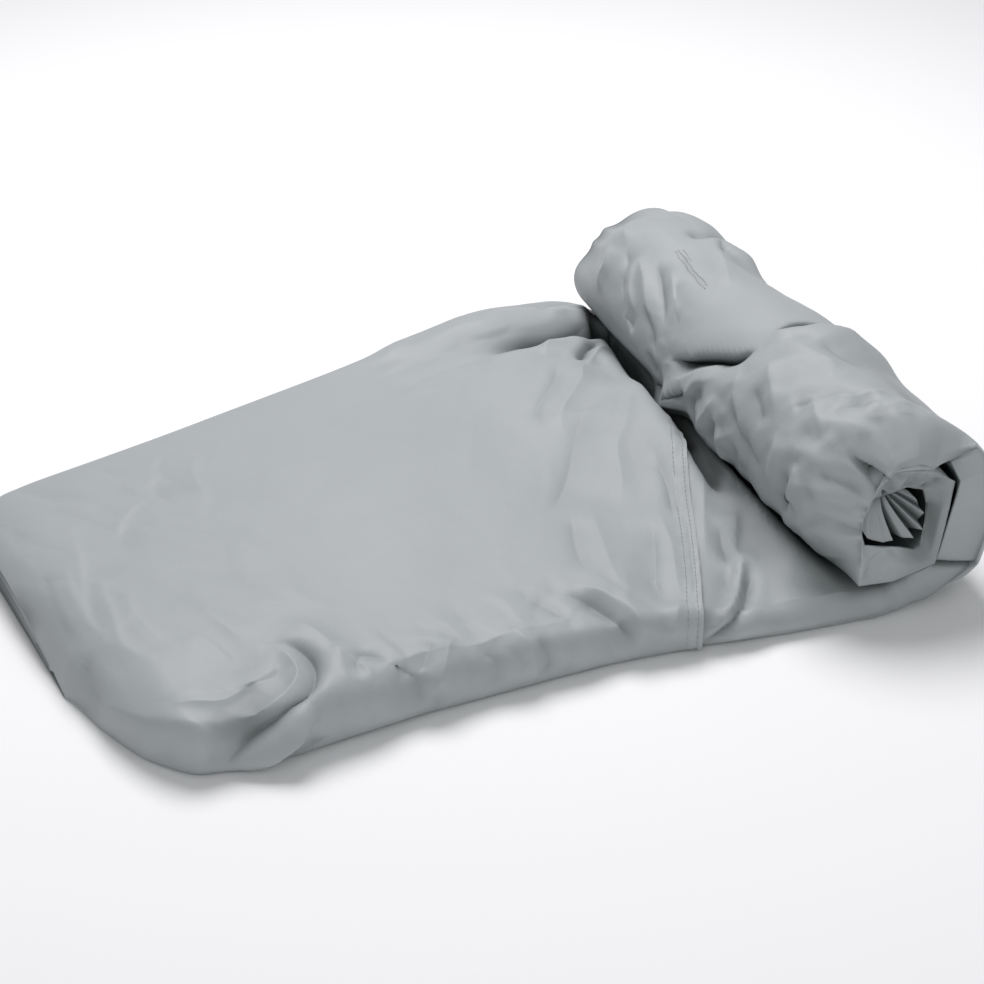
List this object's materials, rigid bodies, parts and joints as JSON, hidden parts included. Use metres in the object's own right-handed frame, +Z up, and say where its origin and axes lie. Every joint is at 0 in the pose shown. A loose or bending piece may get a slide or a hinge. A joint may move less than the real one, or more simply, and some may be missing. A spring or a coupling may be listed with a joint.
{
  "type": "boat cover",
  "caption": "Weatherproof grey cloth cover for a small boat, folded lengthwise into a soft flat band and rolled up at one end for storage.",
  "frame": {"origin": "on the floor, under the middle of the bundle's box", "axes": "+X along the folded band towards the roll, +Y across the band towards its far side, +Z up"},
  "size_m": [0.7322, 0.542, 0.1618],
  "materials": {
    "flat_panel_cloth": "coated, satin",
    "rolled_panel_cloth": "coated, satin"
  },
  "bodies": {
    "root": {"flat_panel": "flat_panel_cloth", "rolled_panel": "rolled_panel_cloth"}
  },
  "joints": []
}
